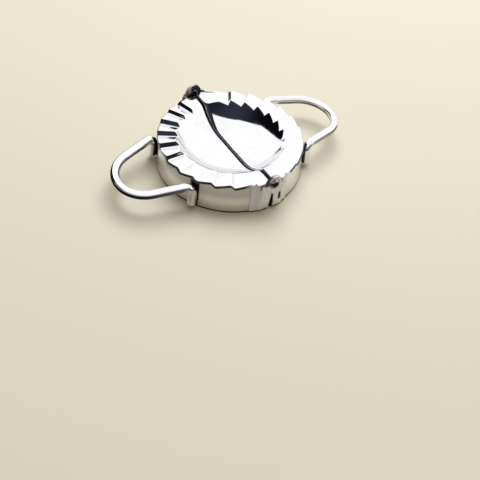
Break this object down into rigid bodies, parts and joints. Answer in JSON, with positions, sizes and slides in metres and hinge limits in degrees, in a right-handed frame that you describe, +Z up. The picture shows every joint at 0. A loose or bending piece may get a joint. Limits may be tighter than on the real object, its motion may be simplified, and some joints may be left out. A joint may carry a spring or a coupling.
{
  "type": "folding empanada mold",
  "caption": "Round folding steel dough press: two hinged dished half plates with a saw-tooth crimping rim, a cutter band below each and a wire loop handle on each side.",
  "frame": {"origin": "on the table under the middle of the ring, where the hinge line crosses the handle line", "axes": "+X towards the right handle, +Y along the hinge axis to the rear, +Z up out of the dish"},
  "size_m": [0.163, 0.1032, 0.027],
  "materials": {
    "pan_steel": "mirror polished stainless sheet",
    "band_steel": "bright stainless strip",
    "handle_wire": "polished stainless wire",
    "rivet_steel": "bright steel"
  },
  "bodies": {
    "right_half": {"right_press_pan": "pan_steel", "right_cutter_band": "band_steel", "right_handle": "handle_wire", "rear_hinge_rivet": "rivet_steel", "front_hinge_rivet": "rivet_steel"},
    "left_half": {"left_press_pan": "pan_steel", "left_cutter_band": "band_steel", "left_handle": "handle_wire"}
  },
  "joints": [
    {"name": "fold_hinge", "type": "hinge", "parent": "right_half", "child": "left_half", "pos_m": [0, 0, 0.0215], "axis": [0, 1, 0], "range_deg": [0, 180]}
  ]
}
